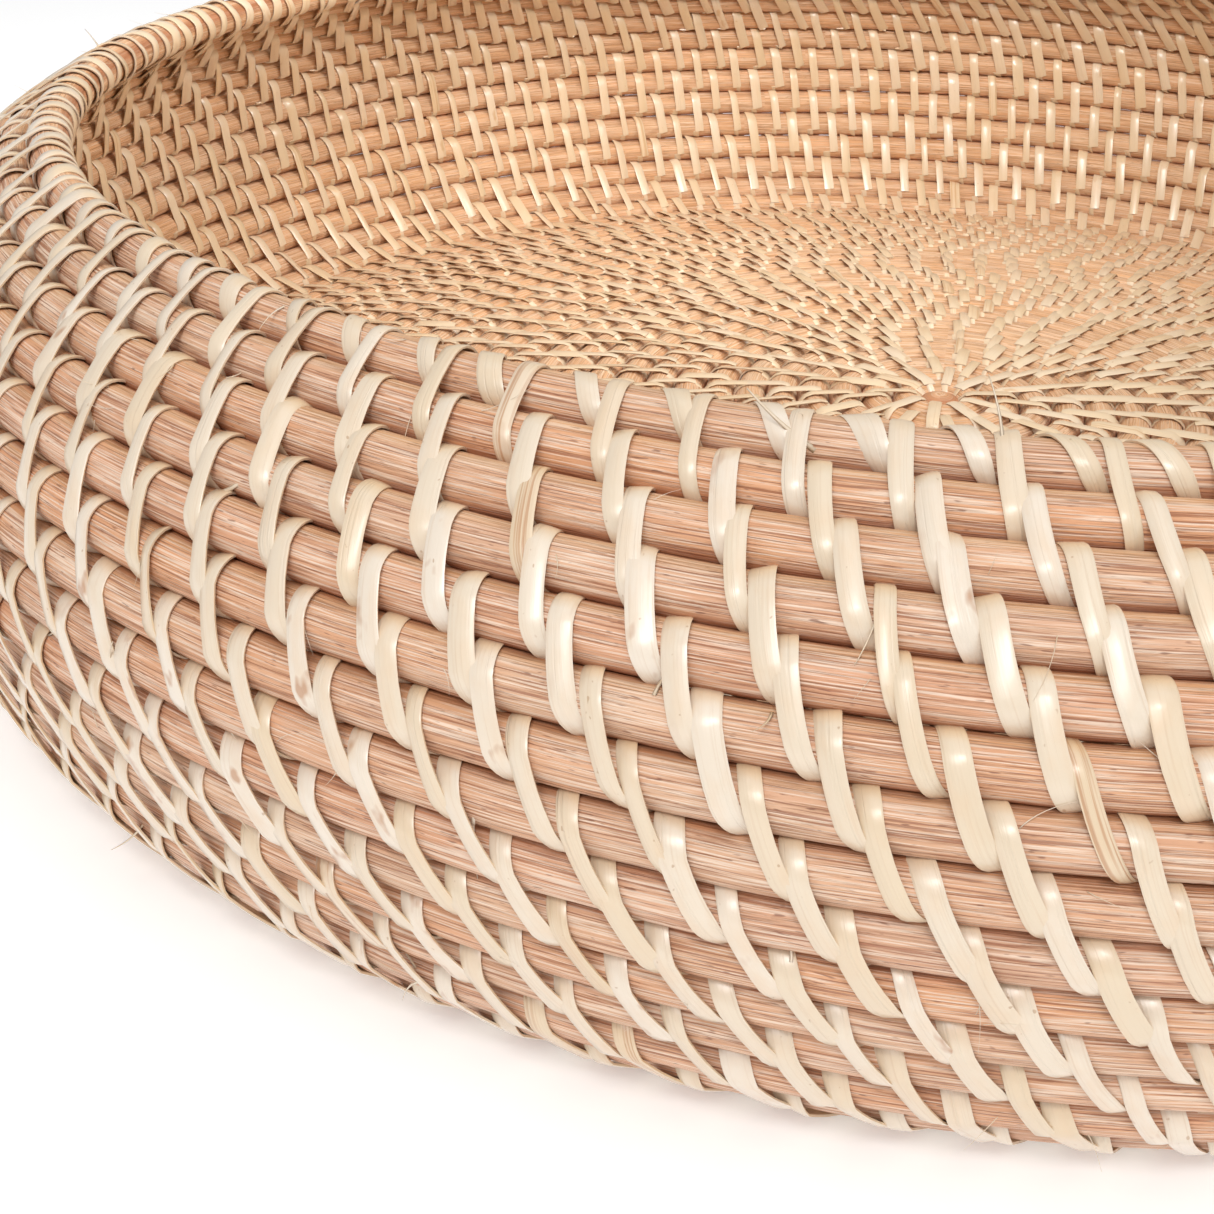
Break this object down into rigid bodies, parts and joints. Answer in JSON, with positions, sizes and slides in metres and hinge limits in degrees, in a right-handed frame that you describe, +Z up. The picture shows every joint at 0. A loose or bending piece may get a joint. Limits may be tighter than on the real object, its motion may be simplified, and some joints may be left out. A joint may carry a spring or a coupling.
{
  "type": "winnowing basket",
  "caption": "Shallow round basket of coiled rattan rods lashed with pale peel strips; the wall leans in at the rim and the base is slightly domed.",
  "frame": {"origin": "middle of the basket's underside, in the plane it rests on", "axes": "+Z up out of the open mouth; the basket is round about Z, so X and Y are free"},
  "size_m": [0.4364, 0.4364, 0.0903],
  "materials": {
    "rattan_core": "matte",
    "rattan_peel": "satin"
  },
  "bodies": {
    "root": {"rim_rod": "rattan_core", "wall_rod_02": "rattan_core", "wall_rod_03": "rattan_core", "wall_rod_04": "rattan_core", "wall_rod_05": "rattan_core", "wall_rod_06": "rattan_core", "wall_rod_07": "rattan_core", "wall_rod_08": "rattan_core", "wall_rod_09": "rattan_core", "wall_rod_10": "rattan_core", "wall_rod_11": "rattan_core", "wall_rod_12": "rattan_core", "wall_rod_13": "rattan_core", "foot_rod_14": "rattan_core", "foot_rod_15": "rattan_core", "foot_rod_16": "rattan_core", "base_outer_coil": "rattan_core", "base_middle_coil": "rattan_core", "base_centre_coil": "rattan_core", "centre_start": "rattan_core", "rim_short_wraps": "rattan_peel", "rim_lashing": "rattan_peel", "wall_lashing_02": "rattan_peel", "wall_lashing_03": "rattan_peel", "wall_lashing_04": "rattan_peel", "wall_lashing_05": "rattan_peel", "wall_lashing_06": "rattan_peel", "wall_lashing_07": "rattan_peel", "wall_lashing_08": "rattan_peel", "wall_lashing_09": "rattan_peel", "wall_lashing_10": "rattan_peel", "wall_lashing_11": "rattan_peel", "wall_lashing_12": "rattan_peel", "wall_lashing_13": "rattan_peel", "foot_lashing_14": "rattan_peel", "foot_lashing_15": "rattan_peel", "base_outer_lashing": "rattan_peel", "base_middle_lashing": "rattan_peel", "base_centre_lashing": "rattan_peel"}
  },
  "joints": []
}
